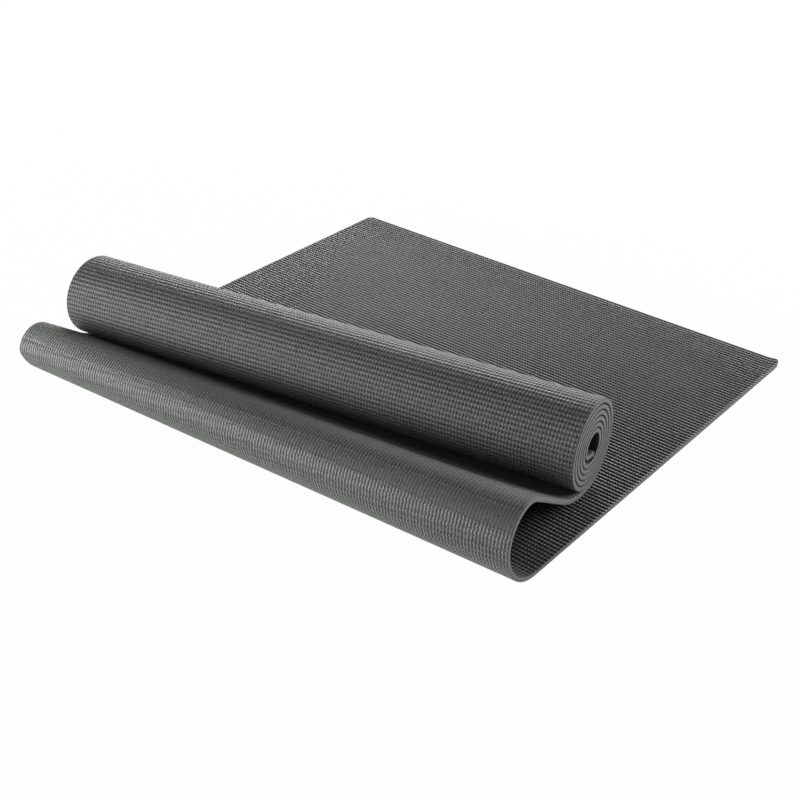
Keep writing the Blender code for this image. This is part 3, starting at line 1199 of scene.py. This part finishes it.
@dataclass(frozen=True)
class Softbox:
    """A rectangular lamp: its place, its two sizes, its power, and what it looks at."""

    name: str
    place: tuple
    size: tuple
    power: float
    target: tuple = (0.0, -0.05, 0.03)

    def hang(self) -> None:
        """Put the lamp up."""
        light = bpy.data.lights.new(self.name, "AREA")
        light.shape = "RECTANGLE"
        light.size, light.size_y = self.size
        light.energy = self.power
        lamp = placed(self.name, light)
        way = Vector(self.target) - Vector(self.place)
        lamp.matrix_world = (Matrix.Translation(self.place)
                             @ way.to_track_quat("-Z", "Y").to_matrix().to_4x4())


SOFTBOXES = (
    Softbox("back_softbox", (-1.6, 1.9, 0.58), (2.0, 0.6), 48.0),
    Softbox("right_softbox", (1.2, 2.2, 0.58), (2.0, 0.6), 84.0),
    Softbox("front_softbox", (0.3, -2.3, 0.6), (1.8, 0.8), 6.0),
    Softbox("left_softbox", (-1.20, -1.55, 0.48), (1.6, 0.85), 37.0),
)


@dataclass(frozen=True)
class Studio:
    """A plain pale floor, soft lamps, and a camera where the photograph's stood."""

    camera_place: tuple = (0.7334, -0.8527, 0.6721)
    yaw: float = math.radians(42.203)
    pitch: float = math.radians(32.80)
    tilt: float = math.radians(-1.245)
    lens: float = 52.89
    sensor: float = 36.0
    near_clip: float = 0.01
    far_clip: float = 50.0
    floor_size: float = 12.0
    floor_height: float = -0.0004
    world_level: float = 0.08
    floor_colour: tuple = (0.93, 0.93, 0.93, 1.0)
    floor_roughness: float = 0.9
    seen_white: float = 0.97
    room_gloss: float = 0.25

    def build(self) -> None:
        """Make the floor, the lamps, the world and the camera."""
        self.floor()
        self.world()
        for softbox in SOFTBOXES:
            softbox.hang()
        self.camera()

    def seen(self, graph: Graph, mirrored: float = 1.0) -> Socket:
        """1 for what the camera sees itself, and a share of it for what gloss mirrors."""
        camera, glossy, clear = (
            graph.node("ShaderNodeLightPath", output=name)
            for name in ("Is Camera Ray", "Is Glossy Ray", "Is Transmission Ray"))
        return (camera + glossy * mirrored + clear).clamped()

    def floor(self) -> None:
        """A pale floor that the camera sees near white, with the mat's soft shadow."""
        half, height = self.floor_size / 2, self.floor_height
        mesh = bpy.data.meshes.new("studio_floor")
        mesh.from_pydata([(-half, -half, height), (half, -half, height), (half, half, height),
                          (-half, half, height)], [], [(0, 1, 2, 3)])
        floor = placed("studio_floor", mesh)
        graph = Graph.material("studio_floor")
        skin = graph.surface(Base_Color=self.floor_colour, Roughness=self.floor_roughness)
        glow = graph.node("ShaderNodeEmission", inputs={"Strength": 1.0})
        shaded = Socket(graph, graph.nodes["Principled BSDF"].outputs[0])
        mixed = graph.node("ShaderNodeMixShader",
                           inputs={0: self.seen(graph) * self.seen_white, 1: shaded, 2: glow})
        graph.feed(graph.nodes["Material Output"].inputs["Surface"], mixed)
        mesh.materials.append(skin)

    def world(self) -> None:
        """A white room that lights softly and that the camera sees as plain white."""
        graph = Graph(bpy.data.worlds.new("studio_world"))
        background = graph.nodes["Background"]
        background.inputs["Color"].default_value = (1.0, 1.0, 1.0, 1.0)
        level = self.seen(graph, self.room_gloss) * (1.0 - self.world_level) + self.world_level
        graph.feed(background.inputs["Strength"], level)
        bpy.context.scene.world = graph.owner

    def camera(self) -> None:
        """Stand the camera: yaw about +Z, pitch down, and a small tilt about its axis."""
        data = bpy.data.cameras.new("photo_camera")
        data.lens = self.lens
        data.sensor_width = self.sensor
        data.clip_start = self.near_clip
        data.clip_end = self.far_clip
        camera = placed("photo_camera", data)
        camera.matrix_world = (Matrix.Translation(self.camera_place)
                               @ Matrix.Rotation(self.yaw, 4, "Z")
                               @ Matrix.Rotation(math.pi / 2 - self.pitch, 4, "X")
                               @ Matrix.Rotation(self.tilt, 4, "Z"))
        bpy.context.scene.camera = camera


def main() -> None:
    """Build the studio and the mat."""
    logging.basicConfig(level=logging.INFO, format="%(message)s")
    bpy.context.scene.view_settings.view_transform = "Standard"
    Studio().build()
    FitnessMat().build()


if __name__ == "__main__":
    main()
